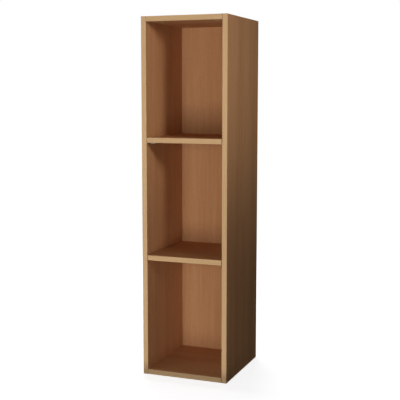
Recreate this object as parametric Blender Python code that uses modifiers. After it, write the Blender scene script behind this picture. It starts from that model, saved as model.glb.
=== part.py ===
"""Tall filing shelf with three compartments, built as a flat pack: two full-height sides, a top and a bottom
drawn up between them by cam fittings and dowels, two loose shelves on spoon supports, and a hardboard back
that stands in grooves. The origin lies on the floor under the middle; +X is right, +Y back, +Z up; metres."""

import math

import bmesh
import bpy
from mathutils import Matrix, Vector

# Overall size
WIDTH = 0.280
DEPTH = 0.300
HEIGHT = 1.120

# Boards and their edge strips
BOARD = 0.016  # chipboard of the sides, top, bottom and shelves
BACK = 0.003  # hardboard of the back
STRIP = 0.001  # plastic strip on an edge that shows
STRIP_ROUND = 0.0008  # radius of a strip's two outer arrises
SHELVES = ("lower_shelf", "upper_shelf")  # from the floor up, at equal clear heights

# Clearances
BUTT_GAP = 0.0003  # between a panel's end and the side it is drawn against
GLUE_LINE = 0.0001  # under an edge strip
FIT = 0.0003  # round a fitting in its bore, and round the back in its groove
SHELF_PLAY = 0.001  # at each end of a loose shelf and behind it
SEAT_GAP = 0.0003  # between a shelf and its supports
OVERRUN = 0.001  # how far a cutter runs out of the face it cuts

# Groove for the back
GROOVE_DEPTH = 0.007
GROOVE_WOOD = 0.008  # wood left behind the groove

# Cam bolts, screwed into the sides
BOLT_INSET = 0.050  # from the front and the back of the shelf
BOLT_THREAD_RADIUS = 0.0028
BOLT_THREAD_LENGTH = 0.011
BOLT_SHANK_RADIUS = 0.0035
BOLT_NECK_RADIUS = 0.0019
BOLT_NECK_TAPER = 0.001
BOLT_HEAD_RADIUS = 0.0035
BOLT_HEAD_FLAT = 0.0026  # from the head's centre to the flat on its end
BOLT_CHAMFER = 0.0006

# Cams, which turn in the top and the bottom panel and pull the bolts in
CAM_RADIUS = 0.0072
CAM_REACH = 0.034  # from a side's inner face to a cam's axis
CAM_RECESS = 0.0003  # how far a cam lies below the board's face
CAM_HEADROOM = 0.0012  # from the bolt's head to the bottom of the cam's bore
CAM_CHAMFER = 0.0004
CAM_HEAD_OFFSET = 0.00195  # from a cam's axis to the bolt head's centre
CAM_SLOT_PLAY = 0.0006  # round the bolt's neck
CAM_LIFT = 0.0015  # rise of the spiral between locked and open
CAM_TURN = math.radians(190)  # from locked to open
CAM_SLOT_LEAD = math.radians(60)  # slot before the locked position, which clears the head
CAM_DRIVER_LENGTH = 0.0066  # cross recess for the screwdriver
CAM_DRIVER_WIDTH = 0.0014
CAM_DRIVER_WALL = 0.0016  # metal left above the cross recess

# Dowels
DOWEL_INSET = 0.082  # from the front and the back of the shelf
DOWEL_RADIUS = 0.004
DOWEL_LENGTH = 0.030
DOWEL_IN_SIDE = 0.010
DOWEL_FLUTES = 10
DOWEL_FLUTE_DEPTH = 0.0004
DOWEL_CHAMFER = 0.0008

# Shelf supports
SUPPORT_INSET = 0.037  # from the front and the back of a shelf
SUPPORT_PIN_RADIUS = 0.0025
SUPPORT_PIN_LENGTH = 0.009  # in the side
SUPPORT_PIN_CHAMFER = 0.0006
SUPPORT_SPOON_LENGTH = 0.014
SUPPORT_SPOON_WIDTH = 0.010
SUPPORT_SPOON_THICK = 0.0025
SUPPORT_SPOON_ROUND = 0.0035  # radius of the spoon's free corners
SUPPORT_SPOON_RISE = 0.0003  # from the top of the pin to the top of the spoon
SUPPORT_RIB_TIP_RADIUS = 0.0010  # the pin runs on under the spoon as a tapered rib
SUPPORT_RIB_END = 0.0025  # from the rib's tip to the spoon's end

# Facets
CAM_STEPS = 32
BOLT_STEPS = 14
PIN_STEPS = 16
ARC_STEP = math.radians(15)  # along an outline's arcs
CORNER_STEPS = 4  # along a rounded corner
HEAD_STEPS = 6  # along the bolt head's round
SHARP_ANGLE = math.radians(35)  # faces that meet at more than this are shaded with an edge
RIM_ANGLE = math.radians(75)  # a dowel's end rims are sharper than this, its flutes are not
WELD = 0.000001

# Places that follow from the sizes
FRONT = -DEPTH / 2
REAR = DEPTH / 2
BOARD_FRONT = FRONT + STRIP + GLUE_LINE
INNER = WIDTH / 2 - BOARD  # from the middle to a side's inner face
GROOVE_WIDTH = BACK + 2 * FIT
GROOVE_MIDDLE = REAR - GROOVE_WOOD - GROOVE_WIDTH / 2
SHELF_REAR = GROOVE_MIDDLE - BACK / 2 - SHELF_PLAY
CLEAR_HEIGHT = (HEIGHT - (len(SHELVES) + 2) * BOARD) / (len(SHELVES) + 1)
HANDS = {"left": -1, "right": 1}
PANELS = {"bottom": 0.0, "top": HEIGHT - BOARD}  # underside of each fixed panel

CAM_BORE_DEPTH = BOARD / 2 + BOLT_HEAD_RADIUS + CAM_HEADROOM
CAM_HEIGHT = CAM_BORE_DEPTH - CAM_RECESS - FIT
CAM_AXIS_HEIGHT = BOARD / 2 - CAM_RECESS  # of the bolt, above the cam's face
CAM_FLOOR = CAM_AXIS_HEIGHT - BOLT_HEAD_RADIUS - 2 * FIT
CAM_SLOT_HALF = BOLT_NECK_RADIUS + CAM_SLOT_PLAY
CAM_LOCK_RADIUS = CAM_HEAD_OFFSET + math.sqrt(BOLT_HEAD_RADIUS**2 - CAM_SLOT_HALF**2) + FIT
SUPPORT_TOP = SUPPORT_PIN_RADIUS + SUPPORT_SPOON_RISE

# Colours, as linear red, green and blue
BEECH = (0.50, 0.27, 0.12)
BEECH_STRIP = (0.60, 0.39, 0.20)
HARDBOARD = (0.42, 0.24, 0.12)
DOWEL_BEECH = (0.62, 0.42, 0.24)
ZINC = (0.55, 0.56, 0.57)
STEEL = (0.62, 0.60, 0.52)
NICKEL = (0.66, 0.63, 0.58)


def clear_scene():
    for obj in list(bpy.data.objects):
        bpy.data.objects.remove(obj, do_unlink=True)


def new_collection(name, parent):
    made = bpy.data.collections.new(name)
    parent.children.link(made)
    return made


def new_material(name, colour, roughness, metallic=0.0):
    made = bpy.data.materials.new(name)
    made.use_nodes = True
    shader = made.node_tree.nodes["Principled BSDF"]
    shader.inputs["Base Color"].default_value = (*colour, 1.0)
    shader.inputs["Roughness"].default_value = roughness
    shader.inputs["Metallic"].default_value = metallic
    return made


def box_mesh(name, size):
    """A box about its own middle."""
    shape = bmesh.new()
    bmesh.ops.create_cube(shape, size=1.0, matrix=Matrix.Diagonal((*size, 1.0)))
    mesh = bpy.data.meshes.new(name)
    shape.to_mesh(mesh)
    shape.free()
    return mesh


def rod_mesh(name, radius, length, axis, steps=PIN_STEPS):
    """A cylinder about its own middle, along X or Z."""
    turn = Matrix.Rotation(math.pi / 2, 4, "Y") if axis == "X" else Matrix.Identity(4)
    shape = bmesh.new()
    bmesh.ops.create_cone(
        shape, cap_ends=True, segments=steps, radius1=radius, radius2=radius, depth=length, matrix=turn
    )
    mesh = bpy.data.meshes.new(name)
    shape.to_mesh(mesh)
    shape.free()
    return mesh


def welded(mesh):
    """The same mesh with meeting points made one and its faces turned outwards."""
    shape = bmesh.new()
    shape.from_mesh(mesh)
    bmesh.ops.remove_doubles(shape, verts=shape.verts, dist=WELD)
    bmesh.ops.recalc_face_normals(shape, faces=shape.faces)
    shape.to_mesh(mesh)
    shape.free()
    return mesh


def frozen_mesh(obj):
    """The object's mesh with its modifiers applied. The object itself goes."""
    bpy.context.view_layer.update()
    graph = bpy.context.evaluated_depsgraph_get()
    mesh = bpy.data.meshes.new_from_object(obj.evaluated_get(graph))
    mesh.name = obj.name
    bpy.data.objects.remove(obj, do_unlink=True)
    return welded(mesh)


def guide(name, data):
    """An object that only helps to make a shape."""
    made = bpy.data.objects.new(name, data)
    made.hide_render = True
    made.display_type = "WIRE"
    CUTTERS.objects.link(made)
    return made


def arc(radius, start, end, centre=(0.0, 0.0), steps=None):
    """Points along an arc, both ends included."""
    steps = steps or max(2, round(abs(end - start) / ARC_STEP))
    angles = [start + (end - start) * i / steps for i in range(steps + 1)]
    return [(centre[0] + radius * math.cos(a), centre[1] + radius * math.sin(a)) for a in angles]


def outline_curve(name, outline, thickness):
    """A flat outline with half its thickness to each side."""
    curve = bpy.data.curves.new(name, "CURVE")
    curve.dimensions = "2D"
    curve.fill_mode = "BOTH"
    curve.extrude = thickness / 2
    spline = curve.splines.new("POLY")
    spline.points.add(len(outline) - 1)
    for point, (x, y) in zip(spline.points, outline):
        point.co = (x, y, 0.0, 1.0)
    spline.use_cyclic_u = True
    return curve


def prism_mesh(name, outline, thickness):
    return frozen_mesh(guide(name, outline_curve(name, outline, thickness)))


def turned_mesh(name, profile, steps):
    """A profile of (radius, height) points from top to bottom, turned about Z."""
    shape = bmesh.new()
    points = [shape.verts.new((radius, 0.0, height)) for radius, height in profile]
    for upper, lower in zip(points, points[1:]):
        shape.edges.new((upper, lower))
    mesh = bpy.data.meshes.new(name)
    shape.to_mesh(mesh)
    shape.free()
    turned = guide(name, mesh)
    screw = turned.modifiers.new("turn", "SCREW")
    screw.steps = steps
    screw.render_steps = steps
    screw.use_merge_vertices = True
    screw.merge_threshold = WELD
    return frozen_mesh(turned)


def smooth_round(mesh):
    mesh.shade_smooth()
    mesh.set_sharp_from_angle(angle=SHARP_ANGLE)
    return mesh


def add_boolean(obj, operation):
    """Cuts from the object, or joins to it, everything in the collection of operands kept under its name."""
    modifier = obj.modifiers.new(operation.lower(), "BOOLEAN")
    modifier.operation = operation
    modifier.solver = "EXACT"
    modifier.operand_type = "COLLECTION"
    modifier.collection = OPERANDS[obj.name]


def add_part(name, data, location, material, rotation=(0.0, 0.0, 0.0), parent=None):
    """One piece of the shelf. A parent is never turned, so only its place counts."""
    made = bpy.data.objects.new(name, data)
    made.location = location
    made.rotation_euler = rotation
    if not data.materials:
        data.materials.append(material)
    PARTS.objects.link(made)
    if parent:
        made.parent = parent
        made.matrix_parent_inverse = Matrix.Translation(parent.location).inverted()
    return made


def add_operand(pieces, name, mesh, location):
    """One shape to cut from, or join to, each of these pieces, so that it lines up between them."""
    operand = bpy.data.objects.new(name, mesh)
    operand.location = location
    operand.hide_render = True
    operand.display_type = "WIRE"
    for piece in pieces:
        if piece not in OPERANDS:
            OPERANDS[piece] = new_collection(f"{piece}_operands", CUTTERS)
        OPERANDS[piece].objects.link(operand)


def add_groove(board, low, high):
    """A groove between two corners."""
    low, high = Vector(low), Vector(high)
    name = f"{board}_groove"
    add_operand([board], name, box_mesh(name, high - low), (low + high) / 2)


def add_board(name, low, high):
    """A beech-faced board between two corners."""
    low, high = Vector(low), Vector(high)
    return add_part(name, box_mesh(name, high - low), (low + high) / 2, MATERIALS["beech"])


def strip_outline():
    """Section of an edge strip: flat where it is glued, at y = 0, and rounded at its two outer arrises."""
    half, r = BOARD / 2, min(STRIP_ROUND, STRIP)
    left = arc(r, math.pi, 1.5 * math.pi, (-half + r, -STRIP + r), CORNER_STEPS)
    right = arc(r, 1.5 * math.pi, 2 * math.pi, (half - r, -STRIP + r), CORNER_STEPS)
    ends = [(half, 0.0), (-half, 0.0)]
    return left + right + (ends if r < STRIP else [])


def add_strip(name, length, location, rotation, parent):
    curve = outline_curve(name, strip_outline(), length)
    return add_part(name, curve, location, MATERIALS["beech_strip"], rotation, parent)


def add_front_strip(board, length):
    """The strip on the front of a level board, as long as the board."""
    place = (0.0, FRONT + STRIP, board.location.z)
    add_strip(f"{board.name}_strip", length, place, (0.0, -math.pi / 2, 0.0), board)


def add_side(hand):
    """A full-height side with the groove for the back along its inner face, and strips on two edges."""
    name, sign = f"{hand}_side", HANDS[hand]
    across = sorted((sign * INNER, sign * WIDTH / 2))
    top = HEIGHT - STRIP - GLUE_LINE
    low, high = (across[0], BOARD_FRONT, 0.0), (across[1], REAR, top)
    side = add_board(name, low, high)
    middle = sign * (WIDTH - BOARD) / 2
    add_strip(f"{name}_front_strip", HEIGHT, (middle, FRONT + STRIP, HEIGHT / 2), (0.0, 0.0, 0.0), side)
    along = (BOARD_FRONT + REAR) / 2
    tilt = (-math.pi / 2, 0.0, 0.0)
    add_strip(f"{name}_top_strip", REAR - BOARD_FRONT, (middle, along, HEIGHT - STRIP), tilt, side)
    groove = sorted((sign * (INNER - OVERRUN), sign * (INNER + GROOVE_DEPTH)))
    low = (groove[0], GROOVE_MIDDLE - GROOVE_WIDTH / 2, -OVERRUN)
    high = (groove[1], GROOVE_MIDDLE + GROOVE_WIDTH / 2, HEIGHT + OVERRUN)
    add_groove(name, low, high)
    return side


def add_panel(level):
    """The top or the bottom, with the groove for the back along the face towards the compartments."""
    name, under = f"{level}_panel", PANELS[level]
    half = INNER - BUTT_GAP
    low, high = (-half, BOARD_FRONT, under), (half, REAR, under + BOARD)
    panel = add_board(name, low, high)
    add_front_strip(panel, 2 * half)
    if level == "top":
        groove = (under - OVERRUN, under + GROOVE_DEPTH)
    else:
        groove = (under + BOARD - GROOVE_DEPTH, under + BOARD + OVERRUN)
    low = (-INNER - OVERRUN, GROOVE_MIDDLE - GROOVE_WIDTH / 2, groove[0])
    high = (INNER + OVERRUN, GROOVE_MIDDLE + GROOVE_WIDTH / 2, groove[1])
    add_groove(name, low, high)
    return panel


def add_back():
    half = INNER + GROOVE_DEPTH - FIT
    low = BOARD - GROOVE_DEPTH + FIT
    size = (2 * half, BACK, HEIGHT - 2 * low)
    place = (0.0, GROOVE_MIDDLE, HEIGHT / 2)
    add_part("back_panel", box_mesh("back_panel", size), place, MATERIALS["hardboard"])


def shelf_underside(number):
    return (number + 1) * (BOARD + CLEAR_HEIGHT)


def add_shelf(number):
    """A loose shelf, which lies on its supports and pulls out to the front."""
    under = shelf_underside(number)
    half = INNER - SHELF_PLAY
    shelf = add_board(SHELVES[number], (-half, BOARD_FRONT, under), (half, SHELF_REAR, under + BOARD))
    add_front_strip(shelf, 2 * half)


def bolt_mesh():
    """A cam bolt along X: thread at -X, head at +X, shoulder against the side at x = 0."""
    head = CAM_REACH - CAM_HEAD_OFFSET
    neck = CAM_REACH - CAM_RADIUS
    first = math.acos(BOLT_HEAD_FLAT / BOLT_HEAD_RADIUS)
    last = math.pi - math.asin(BOLT_NECK_RADIUS / BOLT_HEAD_RADIUS)
    ball = [(r, head + s) for s, r in arc(BOLT_HEAD_RADIUS, first, last, steps=HEAD_STEPS)]
    tip = -BOLT_THREAD_LENGTH
    profile = [
        (0.0, ball[0][1]),
        *ball,
        (BOLT_NECK_RADIUS, neck),
        (BOLT_SHANK_RADIUS, neck - BOLT_NECK_TAPER),
        (BOLT_SHANK_RADIUS, FIT),
        (BOLT_THREAD_RADIUS, FIT),
        (BOLT_THREAD_RADIUS, tip + BOLT_CHAMFER),
        (BOLT_THREAD_RADIUS - BOLT_CHAMFER, tip),
        (0.0, tip),
    ]
    mesh = turned_mesh("cam_bolt", profile, BOLT_STEPS)
    mesh.transform(Matrix.Rotation(math.pi / 2, 4, "Y"))
    return smooth_round(mesh)


def cam_spiral():
    """Outline of a cam's hollow: the wall that pulls the bolt thins from the locked to the open position."""
    rising = round(CAM_TURN / ARC_STEP)
    falling = round((2 * math.pi - CAM_TURN) / ARC_STEP)
    turns = [CAM_TURN * i / rising for i in range(rising)]
    shares = [i / rising for i in range(rising)]
    turns += [CAM_TURN + (2 * math.pi - CAM_TURN) * i / falling for i in range(falling)]
    shares += [1 - i / falling for i in range(falling)]
    radii = [CAM_LOCK_RADIUS + CAM_LIFT * share for share in shares]
    return [(r * math.cos(a), r * math.sin(a)) for r, a in zip(radii, turns)]


def cam_slot():
    """Outline of the slot that the bolt's neck runs in, as a sector of a ring."""
    outer = arc(CAM_RADIUS + OVERRUN, -CAM_SLOT_LEAD, CAM_TURN)
    inner = arc(CAM_LOCK_RADIUS / 2, CAM_TURN, -CAM_SLOT_LEAD)
    return outer + inner


def cam_entry():
    """Outline of the way in for the bolt's head, round below and open at the top, seen along the bolt."""
    radius = BOLT_HEAD_RADIUS + FIT
    rim = CAM_HEIGHT - CAM_AXIS_HEIGHT + OVERRUN
    return arc(radius, math.pi, 2 * math.pi) + [(radius, rim), (-radius, rim)]


def cam_mesh():
    """A cam about its axis: its face at z = 0, and the locked bolt coming in from +X."""
    profile = [
        (0.0, CAM_HEIGHT),
        (CAM_RADIUS, CAM_HEIGHT),
        (CAM_RADIUS, CAM_CHAMFER),
        (CAM_RADIUS - CAM_CHAMFER, 0.0),
        (0.0, 0.0),
    ]
    cam = guide("cam", turned_mesh("cam_blank", profile, CAM_STEPS))

    tall = CAM_HEIGHT + OVERRUN - CAM_FLOOR
    hollow = prism_mesh("cam_hollow", cam_spiral(), tall)
    add_operand(["cam"], "cam_hollow", hollow, (0.0, 0.0, CAM_FLOOR + tall / 2))

    slot = prism_mesh("cam_slot", cam_slot(), 2 * CAM_SLOT_HALF)
    add_operand(["cam"], "cam_slot", slot, (0.0, 0.0, CAM_AXIS_HEIGHT))

    near, far = CAM_LOCK_RADIUS / 2, CAM_RADIUS + OVERRUN
    entry = prism_mesh("cam_entry", cam_entry(), far - near)
    entry.transform(Matrix.Rotation(CAM_TURN + math.pi / 2, 4, "Z") @ Matrix.Rotation(math.pi / 2, 4, "X"))
    out = (near + far) / 2
    way_in = (out * math.cos(CAM_TURN), out * math.sin(CAM_TURN), CAM_AXIS_HEIGHT)
    add_operand(["cam"], "cam_entry", entry, way_in)

    deep = CAM_FLOOR - CAM_DRIVER_WALL
    bar = (CAM_DRIVER_LENGTH, CAM_DRIVER_WIDTH)
    for name, (x, y) in (("cam_cross_x", bar), ("cam_cross_y", bar[::-1])):
        add_operand(["cam"], name, box_mesh(name, (x, y, deep + OVERRUN)), (0.0, 0.0, (deep - OVERRUN) / 2))

    add_boolean(cam, "DIFFERENCE")
    return smooth_round(frozen_mesh(cam))


def dowel_mesh():
    """A fluted dowel along X, with chamfered ends."""
    count = 2 * DOWEL_FLUTES
    radii = [DOWEL_RADIUS - DOWEL_FLUTE_DEPTH * (i % 2) for i in range(count)]
    turns = [2 * math.pi * i / count for i in range(count)]
    outline = [(r * math.cos(a), r * math.sin(a)) for r, a in zip(radii, turns)]
    blank = guide("dowel", prism_mesh("dowel_blank", outline, DOWEL_LENGTH))
    bevel = blank.modifiers.new("chamfer", "BEVEL")
    bevel.width = DOWEL_CHAMFER
    bevel.segments = 1
    bevel.limit_method = "ANGLE"
    bevel.angle_limit = RIM_ANGLE
    mesh = frozen_mesh(blank)
    mesh.transform(Matrix.Rotation(math.pi / 2, 4, "Y"))
    return smooth_round(mesh)


def support_mesh():
    """A shelf support: a pin towards -X for the side, and a flat spoon towards +X that the shelf lies on."""
    rib = FIT + SUPPORT_SPOON_LENGTH - SUPPORT_RIB_END
    pin = [
        (0.0, rib),
        (SUPPORT_RIB_TIP_RADIUS, rib),
        (SUPPORT_PIN_RADIUS, FIT),
        (SUPPORT_PIN_RADIUS, -SUPPORT_PIN_LENGTH + SUPPORT_PIN_CHAMFER),
        (SUPPORT_PIN_RADIUS - SUPPORT_PIN_CHAMFER, -SUPPORT_PIN_LENGTH),
        (0.0, -SUPPORT_PIN_LENGTH),
    ]
    pin_mesh = turned_mesh("support_pin", pin, PIN_STEPS)
    pin_mesh.transform(Matrix.Rotation(math.pi / 2, 4, "Y"))

    half, r, end = SUPPORT_SPOON_WIDTH / 2, SUPPORT_SPOON_ROUND, FIT + SUPPORT_SPOON_LENGTH
    corners = arc(r, -math.pi / 2, 0.0, (end - r, -half + r), CORNER_STEPS)
    corners += arc(r, 0.0, math.pi / 2, (end - r, half - r), CORNER_STEPS)
    spoon_mesh = prism_mesh("spoon", [(FIT, -half), *corners, (FIT, half)], SUPPORT_SPOON_THICK)
    spoon_mesh.transform(Matrix.Translation((0.0, 0.0, SUPPORT_TOP - SUPPORT_SPOON_THICK / 2)))

    support = guide("shelf_support", spoon_mesh)
    add_operand(["shelf_support"], "support_pin", pin_mesh, (0.0, 0.0, 0.0))
    add_boolean(support, "UNION")
    return smooth_round(frozen_mesh(support))


def fit_corner(level, hand, panel, side):
    """The cam fittings and dowels between one panel and one side, and the bores that hold them."""
    sign, under = HANDS[hand], PANELS[level]
    height = under + BOARD / 2
    face = sign * INNER
    facing_in = (0.0, 0.0, 0.0 if sign < 0 else math.pi)
    facing_out = (0.0, 0.0, math.pi if sign < 0 else 0.0)
    for end, outwards in (("front", -1), ("rear", 1)):
        place = f"{level}_{hand}_{end}"
        y = outwards * (DEPTH / 2 - BOLT_INSET)
        axis = face - sign * CAM_REACH
        add_part(f"cam_bolt_{place}", MESHES["bolt"], (face, y, height), MATERIALS["steel"], facing_in, side)
        cam_place = (axis, y, under + CAM_RECESS)
        add_part(f"cam_{place}", MESHES["cam"], cam_place, MATERIALS["zinc"], facing_out, panel)

        deep = BOLT_THREAD_LENGTH + FIT + OVERRUN
        thread = rod_mesh("thread_bore", BOLT_THREAD_RADIUS + FIT, deep, "X")
        bottom = (face + sign * (deep / 2 - OVERRUN), y, height)
        add_operand([side.name], f"thread_bore_{place}", thread, bottom)
        shank = rod_mesh("shank_bore", BOLT_SHANK_RADIUS + FIT, CAM_REACH, "X")
        add_operand([panel.name], f"shank_bore_{place}", shank, (face - sign * CAM_REACH / 2, y, height))
        deep = CAM_BORE_DEPTH + OVERRUN
        bore = rod_mesh("cam_bore", CAM_RADIUS + FIT, deep, "Z", CAM_STEPS)
        add_operand([panel.name], f"cam_bore_{place}", bore, (axis, y, under + deep / 2 - OVERRUN))

        y = outwards * (DEPTH / 2 - DOWEL_INSET)
        middle = face + sign * (DOWEL_IN_SIDE - DOWEL_LENGTH / 2)
        add_part(f"dowel_{place}", MESHES["dowel"], (middle, y, height), MATERIALS["dowel"], parent=side)
        bore = rod_mesh("dowel_bore", DOWEL_RADIUS + FIT, DOWEL_LENGTH + 2 * FIT, "X")
        add_operand([side.name, panel.name], f"dowel_bore_{place}", bore, (middle, y, height))


def fit_supports(number, hand, side):
    """The two supports that carry one end of a shelf, and their bores in the side."""
    sign = HANDS[hand]
    height = shelf_underside(number) - SEAT_GAP - SUPPORT_TOP
    facing_in = (0.0, 0.0, 0.0 if sign < 0 else math.pi)
    deep = SUPPORT_PIN_LENGTH + FIT + OVERRUN
    for end, y in (("front", FRONT + SUPPORT_INSET), ("rear", SHELF_REAR - SUPPORT_INSET)):
        place = f"{SHELVES[number]}_{hand}_{end}"
        pin = (sign * INNER, y, height)
        add_part(f"support_{place}", MESHES["support"], pin, MATERIALS["nickel"], facing_in, side)
        bore = rod_mesh("support_bore", SUPPORT_PIN_RADIUS + FIT, deep, "X")
        bottom = (sign * (INNER + deep / 2 - OVERRUN), y, height)
        add_operand([side.name], f"support_bore_{place}", bore, bottom)


clear_scene()
PARTS = new_collection("office_shelf", bpy.context.scene.collection)
CUTTERS = new_collection("cutters", bpy.context.scene.collection)
OPERANDS = {}
MATERIALS = {
    "beech": new_material("beech_board", BEECH, roughness=0.45),
    "beech_strip": new_material("beech_strip", BEECH_STRIP, roughness=0.40),
    "hardboard": new_material("hardboard", HARDBOARD, roughness=0.55),
    "dowel": new_material("dowel_beech", DOWEL_BEECH, roughness=0.70),
    "zinc": new_material("cam_zinc", ZINC, roughness=0.42, metallic=1.0),
    "steel": new_material("bolt_steel", STEEL, roughness=0.35, metallic=1.0),
    "nickel": new_material("support_nickel", NICKEL, roughness=0.28, metallic=1.0),
}
MESHES = {"bolt": bolt_mesh(), "cam": cam_mesh(), "dowel": dowel_mesh(), "support": support_mesh()}

SIDES = {hand: add_side(hand) for hand in HANDS}
FIXED = {level: add_panel(level) for level in PANELS}
add_back()
for shelf_number in range(len(SHELVES)):
    add_shelf(shelf_number)
for shelf_hand, shelf_side in SIDES.items():
    for panel_level, fixed_panel in FIXED.items():
        fit_corner(panel_level, shelf_hand, fixed_panel, shelf_side)
    for shelf_number in range(len(SHELVES)):
        fit_supports(shelf_number, shelf_hand, shelf_side)
for cut_board in (*SIDES.values(), *FIXED.values()):
    add_boolean(cut_board, "DIFFERENCE")
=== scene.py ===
"""Looks of the tall filing shelf in a white studio: beech print on the boards, with raw chipboard in their
edges, paler strips in front, hardboard behind, and metal and beech in the fittings."""

import math

import bpy
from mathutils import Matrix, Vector


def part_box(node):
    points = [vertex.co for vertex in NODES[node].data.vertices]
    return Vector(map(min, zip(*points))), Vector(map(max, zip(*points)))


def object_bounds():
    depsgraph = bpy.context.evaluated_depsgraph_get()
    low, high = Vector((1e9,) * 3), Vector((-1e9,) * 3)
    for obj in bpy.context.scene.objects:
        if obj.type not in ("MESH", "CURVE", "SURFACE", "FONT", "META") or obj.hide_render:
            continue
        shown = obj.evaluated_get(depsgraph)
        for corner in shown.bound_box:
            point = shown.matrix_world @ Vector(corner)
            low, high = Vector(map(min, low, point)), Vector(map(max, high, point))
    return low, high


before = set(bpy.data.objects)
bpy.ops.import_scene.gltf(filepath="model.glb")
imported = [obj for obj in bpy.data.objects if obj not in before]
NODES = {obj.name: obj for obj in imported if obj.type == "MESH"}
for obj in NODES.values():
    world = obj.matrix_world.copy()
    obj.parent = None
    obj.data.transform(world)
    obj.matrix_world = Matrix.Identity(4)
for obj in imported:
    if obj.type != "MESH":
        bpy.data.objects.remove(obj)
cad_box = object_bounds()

SIDES = ("left_side", "right_side")
LEVEL_BOARDS = ("top_panel", "bottom_panel", "lower_shelf", "upper_shelf")

# Camera, about where the photograph sees the shelf from
CAMERA_PLACE = (1.016, -2.627, 0.886)
CAMERA_TURN = math.radians(21.24)  # to the left of straight at the front
CAMERA_TILT = math.radians(6.87)  # below level
CAMERA_LENS = 79.33  # mm, on a sensor of the usual 36 mm

# Softboxes: name, place, what it points at, side of its square, watts
SOFTBOXES = (
    ("front_key", (0.38, -2.90, 0.40), (0.0, -0.15, 0.45), 1.5, 47.0),
    ("left_fill", (-1.80, -1.90, 0.45), (0.0, -0.15, 0.50), 1.4, 23.0),
    ("rear_fill", (-1.25, 2.40, 1.20), (0.0, 0.15, 0.55), 1.6, 60.0),
    ("top_fill", (-0.30, 0.20, 3.20), (0.0, 0.0, 1.12), 1.2, 20.0),
)

# Spots: name, place, what it points at, cone, share of the cone over which its light fades, radius, watts
SPOTS = (
    ("side_spot", (1.95, -1.15, 1.50), (0.14, -0.24, 1.04), math.radians(31), 0.8, 0.25, 82.0),
    ("low_spot", (0.70, -1.21, 0.25), (-0.05, -0.15, 0.20), math.radians(26), 1.0, 0.08, 8.0),
)

# Light from all round
AMBIENT = 0.055  # strength of the grey that lights the shelf
AMBIENT_BELOW = 0.05  # the same, from under the horizon
HORIZON = 0.2  # how far from the horizon the two greys meet, where 1 is straight up or down

# Floor
FLOOR_RADIUS = 2.4
FLOOR_CORNERS = 96
FLOOR_FADE = 0.9  # radius at which the floor begins to fade into the white
FLOOR_GLOW = 0.84  # what a camera sees of it without any light, where 1 is white
FLOOR_SHARE = 0.45  # how much of the light that falls on it a camera sees
FLOOR_GAP = 0.0005  # between the floor and the shelf

# Card that hangs unseen before the shelf and keeps some light off the foot of its front
CARD_WIDTH = 0.50
CARD_HEIGHT = 0.022
CARD_BOTTOM = 0.008  # above the floor, so that its shadow there begins softly
CARD_DISTANCE = 0.08  # from the shelf's front

# Figure of the wood: bands, streaks, lines and flecks, by their widths across the grain
BAND = 0.050
STREAK = 0.0075
LINE = 0.0012
LINE_DEPTH = 0.00001
FLECK = 0.0007
FLECK_DEPTH = 0.00002
FLECK_RANGE = (0.62, 0.74)  # noise at which a fleck begins, and at which it is whole
ALONG = 26.0  # how many times longer bands, streaks and lines run along the grain
FLECK_ALONG = 7.0

# How far the figure is moved for the first piece of a kind, and then from piece to piece
SHIFT_WAY = (1.0, 0.37, 0.61)
SIDE_SHIFTS = (1.7, 2.3)
LEVEL_SHIFTS = (7.1, 1.9)
STRIP_SHIFTS = (31.0, 1.3)
BACK_SHIFT = 23.0
DOWEL_SHIFT = 3.3

# Raw chipboard: coarse flakes in the core, fine dust near the faces
FOIL = 0.0002  # thickness of the printed finish on both faces
FLAKE = 0.0013  # across a flake
FLAKE_ALONG = 3.6  # how many times longer it lies along the board
FLAKE_DEPTH = 0.00010
FLAKE_GAP = 0.08  # share of a flake that the dark gap beside it takes up
FLAKE_SLOPE = 0.15  # share of a flake over which its edge falls
DUST = 0.0005
DUST_DEPTH = 0.00005
DUST_RANGE = (0.25, 0.75)  # noise at which dust is darkest and palest
CORE_SHARE = 0.62  # of the board's thickness

# Hardboard
FIBRE = 0.0009
FIBRE_ALONG = 2.0  # how many times longer the fibres run upwards
PATCH = 0.054
SCREEN = 0.0016  # pitch of the press screen's print on the rear
SCREEN_DEPTH = 0.00008

# Strips
GLUE_LINE = 0.0010  # dark line where two strips meet

# How strongly each part of a figure changes the tone, which runs from 0, dark, to 1, pale
BAND_WEIGHT = 0.70
STREAK_WEIGHT = 0.80
LINE_WEIGHT = 0.35
FIBRE_WEIGHT = 0.90
PATCH_WEIGHT = 0.40
GRIT_WEIGHT = 0.50
STAIN_WEIGHT = 0.70
FLECK_WEIGHT = 0.45  # of a fleck's own colour

# Roughness where the tone is dark and where it is pale
BEECH_ROUGHNESS = (0.55, 0.45)
STRIP_ROUGHNESS = (0.50, 0.40)
DOWEL_ROUGHNESS = (0.65, 0.55)
CHIP_ROUGHNESS = (0.75, 0.95)
FIBRE_ROUGHNESS = (0.70, 0.88)
TONE_RANGE = (0.2, 0.8)  # what most of a noise or a tone lies between

# How much of the light a surface mirrors, where 0.5 is usual for plastics
BOARD_SHINE = 0.0005
STRIP_SHINE = 0.012
METAL_SHINE = 0.5

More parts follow.
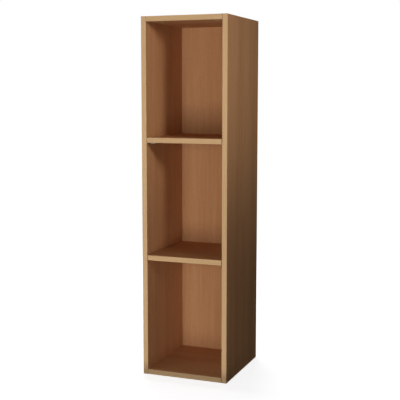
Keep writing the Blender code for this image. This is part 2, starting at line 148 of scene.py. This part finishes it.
# Colours from dark to pale, as linear red, green and blue
BEECH = ((0.404, 0.188, 0.080), (0.505, 0.254, 0.117), (0.590, 0.321, 0.159))
BEECH_FLECK = (0.303, 0.134, 0.054)
STRIP = ((0.470, 0.286, 0.139), (0.545, 0.350, 0.181), (0.610, 0.410, 0.227))
STRIP_FLECK = (0.400, 0.230, 0.104)
GLUE = (0.180, 0.090, 0.040)
CHIPS = ((0.330, 0.196, 0.096), (0.460, 0.302, 0.160), (0.530, 0.368, 0.212), (0.600, 0.444, 0.278))
CHIP_GAP = (0.220, 0.120, 0.054)
FIBRES = ((0.220, 0.113, 0.051), (0.308, 0.169, 0.080), (0.395, 0.230, 0.117))
DOWEL = ((0.520, 0.350, 0.190), (0.610, 0.430, 0.250), (0.680, 0.500, 0.310))
DOWEL_FLECK = (0.430, 0.270, 0.140)
ZINC = ((0.400, 0.405, 0.415), (0.520, 0.525, 0.535), (0.620, 0.625, 0.630))
PLATED = ((0.470, 0.475, 0.490), (0.580, 0.585, 0.600), (0.690, 0.690, 0.695))
# Nickel darkened to about two thirds of its own colour as painted shade, so that the supports read dark in
# the shade under the shelves
NICKEL_WITH_PAINTED_SHADE = ((0.195, 0.182, 0.162), (0.247, 0.231, 0.208), (0.300, 0.283, 0.257))

# Metals: start of a node's name, material, colours, roughness where dark and pale, grit's width and height
METALS = (
    ("cam_bolt_", "plated_steel", PLATED, (0.42, 0.24), 0.0004, 0.000004),
    ("cam_", "cast_zinc", ZINC, (0.54, 0.36), 0.0007, 0.000020),
    # the supports' nickel colours hold painted shade
    ("support_", "satin_nickel", NICKEL_WITH_PAINTED_SHADE, (0.54, 0.36), 0.0005, 0.000006),
)
STAIN = 9.0  # how many times wider than its grit a metal's stains are


def add(tree, kind, **settings):
    made = tree.nodes.new(kind)
    for name, value in settings.items():
        setattr(made, name, value)
    return made


def connect(tree, socket, value):
    """Links a socket to another, or sets it to a number or a colour."""
    if isinstance(value, bpy.types.NodeSocket):
        tree.links.new(value, socket)
    elif socket.type == "RGBA":
        socket.default_value = (*value, 1.0)
    else:
        socket.default_value = value


def feed(tree, made, **inputs):
    """Connects a node's inputs by name, with _ for a space."""
    for name, value in inputs.items():
        connect(tree, made.inputs[name.replace("_", " ")], value)
    return made


def maths(tree, operation, *values):
    made = add(tree, "ShaderNodeMath", operation=operation)
    for socket, value in zip(made.inputs, values):
        connect(tree, socket, value)
    return made.outputs["Value"]


def vector_maths(tree, operation, first, second):
    made = add(tree, "ShaderNodeVectorMath", operation=operation)
    connect(tree, made.inputs[0], first)
    connect(tree, made.inputs[1], second)
    return made.outputs["Vector"]


def noise(tree, vector, size, detail=2.0, roughness=0.5):
    made = add(tree, "ShaderNodeTexNoise")
    feed(tree, made, Vector=vector, Scale=1 / size, Detail=detail, Roughness=roughness)
    return made.outputs["Fac"]


def cells(tree, vector, size, feature="F1"):
    made = add(tree, "ShaderNodeTexVoronoi", feature=feature)
    return feed(tree, made, Vector=vector, Scale=1 / size).outputs


def remap(tree, value, low, high, to_low=0.0, to_high=1.0):
    made = add(tree, "ShaderNodeMapRange", interpolation_type="SMOOTHSTEP")
    feed(tree, made, Value=value, From_Min=low, From_Max=high, To_Min=to_low, To_Max=to_high)
    return made.outputs["Result"]


def ramp(tree, value, colours):
    """Colours spaced evenly from 0 to 1."""
    made = add(tree, "ShaderNodeValToRGB")
    elements = made.color_ramp.elements
    while len(elements) < len(colours):
        elements.new(0.5)
    for i, colour in enumerate(colours):
        elements[i].position = i / (len(colours) - 1)
        elements[i].color = (*colour, 1.0)
    return feed(tree, made, Fac=value).outputs["Color"]


def mix(tree, factor, first, second):
    """One colour passing into another. The numbers are the sockets that a mix node has for colours."""
    made = add(tree, "ShaderNodeMix", data_type="RGBA")
    for number, value in ((0, factor), (6, first), (7, second)):
        connect(tree, made.inputs[number], value)
    return made.outputs[2]


def blended_tone(tree, *parts):
    """A tone about the middle of its range, from noises and the weight of each."""
    tone = 0.5 - sum(weight for value, weight in parts) / 2
    for value, weight in parts:
        tone = maths(tree, "MULTIPLY_ADD", value, weight, tone)
    return tone


def place(tree):
    """Where a point lies in the shelf's frame."""
    return add(tree, "ShaderNodeTexCoord").outputs["Object"]


def axis(tree, vector, letter):
    return feed(tree, add(tree, "ShaderNodeSeparateXYZ"), Vector=vector).outputs[letter]


def stretched(tree, vector, letter, by):
    """Coordinates in which what is drawn comes out longer along one axis."""
    return vector_maths(tree, "MULTIPLY", vector, [1 / by if letter == each else 1.0 for each in "XYZ"])


def span(node, letter):
    """Where a piece begins and ends along one axis."""
    number = "XYZ".index(letter)
    low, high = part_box(node)
    return low[number], high[number]


def off_middle(tree, letter, low, high):
    """How far a point lies from the middle of a piece along one axis, in metres."""
    offset = maths(tree, "SUBTRACT", axis(tree, place(tree), letter), (low + high) / 2)
    return maths(tree, "ABSOLUTE", offset)


def wood(tree, along, shift, colours, fleck_colour, roughness):
    """Colour, roughness and height of wood whose grain runs along one axis.
    The shift moves the figure, so that no two pieces look alike."""
    moved = vector_maths(tree, "ADD", place(tree), [part * shift for part in SHIFT_WAY])
    grain = stretched(tree, moved, along, ALONG)
    bands = noise(tree, grain, BAND, detail=1.0)
    streaks = noise(tree, grain, STREAK, detail=3.0, roughness=0.6)
    lines = noise(tree, grain, LINE)
    tone = blended_tone(tree, (bands, BAND_WEIGHT), (streaks, STREAK_WEIGHT), (lines, LINE_WEIGHT))
    spots = noise(tree, stretched(tree, moved, along, FLECK_ALONG), FLECK, detail=0.0)
    flecks = remap(tree, spots, *FLECK_RANGE)
    strength = maths(tree, "MULTIPLY", flecks, FLECK_WEIGHT)
    colour = mix(tree, strength, ramp(tree, tone, colours), fleck_colour)
    rise = maths(tree, "MULTIPLY", lines, LINE_DEPTH)
    height = maths(tree, "MULTIPLY_ADD", flecks, -FLECK_DEPTH, rise)
    return colour, remap(tree, tone, *TONE_RANGE, *roughness), height


def chipboard(tree, across, low, high):
    """Colour, roughness and height of sawn chipboard whose thickness runs along one axis."""
    flat = stretched(tree, place(tree), across, 1 / FLAKE_ALONG)
    flakes = cells(tree, flat, FLAKE * FLAKE_ALONG)
    gaps = cells(tree, flat, FLAKE * FLAKE_ALONG, "DISTANCE_TO_EDGE")["Distance"]
    dust = noise(tree, flat, DUST * FLAKE_ALONG, detail=3.0, roughness=0.7)
    tone = axis(tree, flakes["Color"], "X")
    coarse = mix(tree, remap(tree, gaps, 0.0, FLAKE_GAP), CHIP_GAP, ramp(tree, tone, CHIPS))
    fine = ramp(tree, remap(tree, dust, *DUST_RANGE), CHIPS)
    edge_of_core = CORE_SHARE * (high - low) / 2
    wander = maths(tree, "MULTIPLY_ADD", dust, FLAKE, off_middle(tree, across, low, high))
    near_face = remap(tree, wander, edge_of_core, edge_of_core + FLAKE)
    flake_rise = maths(tree, "MULTIPLY", remap(tree, gaps, 0.0, FLAKE_SLOPE), FLAKE_DEPTH)
    dust_rise = maths(tree, "MULTIPLY", dust, DUST_DEPTH)
    height = maths(tree, "MULTIPLY_ADD", maths(tree, "SUBTRACT", 1.0, near_face), flake_rise, dust_rise)
    return mix(tree, near_face, coarse, fine), remap(tree, dust, *TONE_RANGE, *CHIP_ROUGHNESS), height


def hardboard(tree):
    """Colour, roughness and height of pressed fibre, with the print of the press screen."""
    felt = stretched(tree, place(tree), "Z", FIBRE_ALONG)
    fibres = noise(tree, felt, FIBRE, detail=4.0, roughness=0.7)
    patches = noise(tree, felt, PATCH)
    tone = blended_tone(tree, (fibres, FIBRE_WEIGHT), (patches, PATCH_WEIGHT))
    waves = []
    for way in "XZ":
        angle = maths(tree, "MULTIPLY", axis(tree, place(tree), way), 2 * math.pi / SCREEN)
        waves.append(maths(tree, "SINE", angle))
    height = maths(tree, "MULTIPLY", maths(tree, "MULTIPLY", *waves), SCREEN_DEPTH)
    return ramp(tree, tone, FIBRES), remap(tree, fibres, *TONE_RANGE, *FIBRE_ROUGHNESS), height


def metal(tree, colours, roughness, grit, depth):
    """Colour, roughness and height of a metal with a fine uneven surface."""
    rough = noise(tree, place(tree), grit, detail=3.0)
    stains = noise(tree, place(tree), STAIN * grit)
    tone = blended_tone(tree, (rough, GRIT_WEIGHT), (stains, STAIN_WEIGHT))
    height = maths(tree, "MULTIPLY", rough, depth)
    return ramp(tree, tone, colours), remap(tree, tone, *TONE_RANGE, *roughness), height


def laid_over(tree, mask, under, over):
    """One surface over another, where the mask is 1."""
    colour = mix(tree, mask, under[0], over[0])
    values = []
    for first, second in zip(under[1:], over[1:]):
        made = feed(tree, add(tree, "ShaderNodeMapRange"), Value=mask, To_Min=first, To_Max=second)
        values.append(made.outputs["Result"])
    return colour, *values


def new_material(name, shine, metallic=0.0):
    """A material's node tree, with a function that gives it its colour, roughness and height."""
    material = bpy.data.materials.new(name)
    material.use_nodes = True
    tree = material.node_tree
    shader = tree.nodes["Principled BSDF"]
    shader.inputs["Specular IOR Level"].default_value = shine
    shader.inputs["Metallic"].default_value = metallic

    def paint(colour, roughness, height):
        bump = feed(tree, add(tree, "ShaderNodeBump"), Height=height, Distance=1.0)
        feed(tree, shader, Base_Color=colour, Roughness=roughness, Normal=bump.outputs["Normal"])
        return material

    return tree, paint


def board_material(node, along, across, shift):
    """Beech print on both faces of a board, raw chipboard in its edges, grooves and bores."""
    tree, paint = new_material(f"board_{node}", BOARD_SHINE)
    low, high = span(node, across)
    face = (high - low) / 2
    printed = remap(tree, off_middle(tree, across, low, high), face - FOIL, face - FOIL / 2)
    raw = chipboard(tree, across, low, high)
    beech = wood(tree, along, shift, BEECH, BEECH_FLECK, BEECH_ROUGHNESS)
    return paint(*laid_over(tree, printed, raw, beech))


def back_material(node, shift):
    """Beech print on the front of the back panel, bare hardboard behind."""
    tree, paint = new_material(f"panel_{node}", BOARD_SHINE)
    front = span(node, "Y")[0]
    bare = remap(tree, axis(tree, place(tree), "Y"), front + FOIL / 2, front + FOIL)
    beech = wood(tree, "Z", shift, BEECH, BEECH_FLECK, BEECH_ROUGHNESS)
    return paint(*laid_over(tree, bare, beech, hardboard(tree)))


def strip_material(node, along, shift):
    """A strip of pale beech print, with a dark line at its two ends."""
    tree, paint = new_material(f"strip_{node}", STRIP_SHINE)
    low, high = span(node, along)
    end = (high - low) / 2
    colour, roughness, height = wood(tree, along, shift, STRIP, STRIP_FLECK, STRIP_ROUGHNESS)
    joint = remap(tree, off_middle(tree, along, low, high), end - GLUE_LINE, end - GLUE_LINE / 2)
    return paint(mix(tree, joint, colour, GLUE), roughness, height)


def dowel_material():
    tree, paint = new_material("dowel", BOARD_SHINE)
    return paint(*wood(tree, "X", DOWEL_SHIFT, DOWEL, DOWEL_FLECK, DOWEL_ROUGHNESS))


def metal_material(name, colours, roughness, grit, depth):
    tree, paint = new_material(name, METAL_SHINE, metallic=1.0)
    return paint(*metal(tree, colours, roughness, grit, depth))


def look_at(obj, target):
    obj.rotation_euler = (Vector(target) - obj.location).to_track_quat("-Z", "Y").to_euler()


def add_camera():
    camera = bpy.data.objects.new("camera", bpy.data.cameras.new("camera"))
    camera.location = CAMERA_PLACE
    camera.rotation_euler = (math.pi / 2 - CAMERA_TILT, 0.0, CAMERA_TURN)
    camera.data.lens = CAMERA_LENS
    bpy.context.scene.collection.objects.link(camera)
    bpy.context.scene.camera = camera


def add_lamp(name, kind, where, target, watts):
    lamp = bpy.data.objects.new(name, bpy.data.lights.new(name, kind))
    lamp.location = where
    lamp.data.energy = watts
    look_at(lamp, target)
    lamp.visible_camera = False
    bpy.context.scene.collection.objects.link(lamp)
    return lamp.data


def add_lamps():
    for name, where, target, side, watts in SOFTBOXES:
        add_lamp(name, "AREA", where, target, watts).size = side
    for name, where, target, cone, blend, radius, watts in SPOTS:
        spot = add_lamp(name, "SPOT", where, target, watts)
        spot.spot_size = cone
        spot.spot_blend = blend
        spot.shadow_soft_size = radius


def seen_directly(tree):
    """1 for a ray from the camera, or one that came by a reflection or through glass."""
    path = add(tree, "ShaderNodeLightPath").outputs
    seen = maths(tree, "MAXIMUM", path["Is Camera Ray"], path["Is Glossy Ray"])
    return maths(tree, "MAXIMUM", seen, path["Is Transmission Ray"])


def add_world():
    """White where it is seen, and a dim grey where it lights the shelf."""
    world = bpy.data.worlds.new("studio")
    world.use_nodes = True
    bpy.context.scene.world = world
    tree = world.node_tree
    height = axis(tree, add(tree, "ShaderNodeTexCoord").outputs["Generated"], "Z")
    grey = remap(tree, height, -HORIZON, HORIZON, AMBIENT_BELOW, AMBIENT)
    strength = maths(tree, "MAXIMUM", grey, seen_directly(tree))
    feed(tree, tree.nodes["Background"], Color=(1.0, 1.0, 1.0), Strength=strength)


def floor_material():
    """White apart from shadows, and clear towards the rim and from below."""
    material = bpy.data.materials.new("floor")
    material.use_nodes = True
    tree = material.node_tree
    tree.nodes.remove(tree.nodes["Principled BSDF"])
    glow = feed(tree, add(tree, "ShaderNodeEmission"), Strength=FLOOR_GLOW)
    lit = feed(tree, add(tree, "ShaderNodeBsdfDiffuse"), Color=(FLOOR_SHARE,) * 3)
    shown = add(tree, "ShaderNodeAddShader")
    tree.links.new(glow.outputs[0], shown.inputs[0])
    tree.links.new(lit.outputs[0], shown.inputs[1])
    length = add(tree, "ShaderNodeVectorMath", operation="LENGTH")
    distance = feed(tree, length, Vector=place(tree)).outputs["Value"]
    rim = remap(tree, distance, FLOOR_FADE, FLOOR_RADIUS)
    clear = maths(tree, "MAXIMUM", rim, add(tree, "ShaderNodeNewGeometry").outputs["Backfacing"])
    faded = add(tree, "ShaderNodeMixShader")
    tree.links.new(clear, faded.inputs[0])
    tree.links.new(shown.outputs[0], faded.inputs[1])
    tree.links.new(add(tree, "ShaderNodeBsdfTransparent").outputs[0], faded.inputs[2])
    tree.links.new(faded.outputs[0], tree.nodes["Material Output"].inputs["Surface"])
    return material


def add_floor():
    """A disc that shows shadows and gives the shelf no light, which the world does instead."""
    bpy.ops.mesh.primitive_circle_add(
        vertices=FLOOR_CORNERS, radius=FLOOR_RADIUS, fill_type="NGON", location=(0.0, 0.0, -FLOOR_GAP)
    )
    floor = bpy.context.active_object
    floor.name = "floor"
    floor.visible_diffuse = False
    floor.visible_shadow = False
    floor.data.materials.append(floor_material())


def add_card():
    """A low upright card that throws a soft shadow and is not seen itself."""
    front = cad_box[0][1]
    middle = CARD_BOTTOM + CARD_HEIGHT / 2
    bpy.ops.mesh.primitive_plane_add(
        size=1.0, location=(0.0, front - CARD_DISTANCE, middle), rotation=(math.pi / 2, 0.0, 0.0)
    )
    card = bpy.context.active_object
    card.name = "card"
    card.scale = (CARD_WIDTH, CARD_HEIGHT, 1.0)
    card.visible_camera = False
    card.visible_diffuse = False
    card.visible_glossy = False
    card.visible_transmission = False


def dress(node, material):
    NODES[node].data.materials.clear()
    NODES[node].data.materials.append(material)


def with_shifts(nodes, first, step):
    """Each node with the shift of its figure."""
    return [(node, first + step * index) for index, node in enumerate(nodes)]


def dress_boards():
    for node, shift in with_shifts(SIDES, *SIDE_SHIFTS):
        dress(node, board_material(node, "Z", "X", shift))
    for node, shift in with_shifts(LEVEL_BOARDS, *LEVEL_SHIFTS):
        dress(node, board_material(node, "X", "Z", shift))
    dress("back_panel", back_material("back_panel", BACK_SHIFT))


def strip_run(node):
    """The axis that a strip runs along."""
    if node.endswith("front_strip"):
        return "Z"
    return "Y" if node.endswith("top_strip") else "X"


def dress_strips():
    strips = sorted(node for node in NODES if node.endswith("_strip"))
    for node, shift in with_shifts(strips, *STRIP_SHIFTS):
        dress(node, strip_material(node, strip_run(node), shift))


def dress_fittings():
    """The first start that fits counts, since a cam bolt's name also starts like a cam's."""
    finishes = [(start, metal_material(*finish)) for start, *finish in METALS]
    finishes.append(("dowel_", dowel_material()))
    for node in NODES:
        for start, material in finishes:
            if node.startswith(start):
                dress(node, material)
                break


add_camera()
add_lamps()
add_world()
add_floor()
add_card()
bpy.context.scene.view_settings.view_transform = "Standard"
dress_boards()
dress_strips()
dress_fittings()
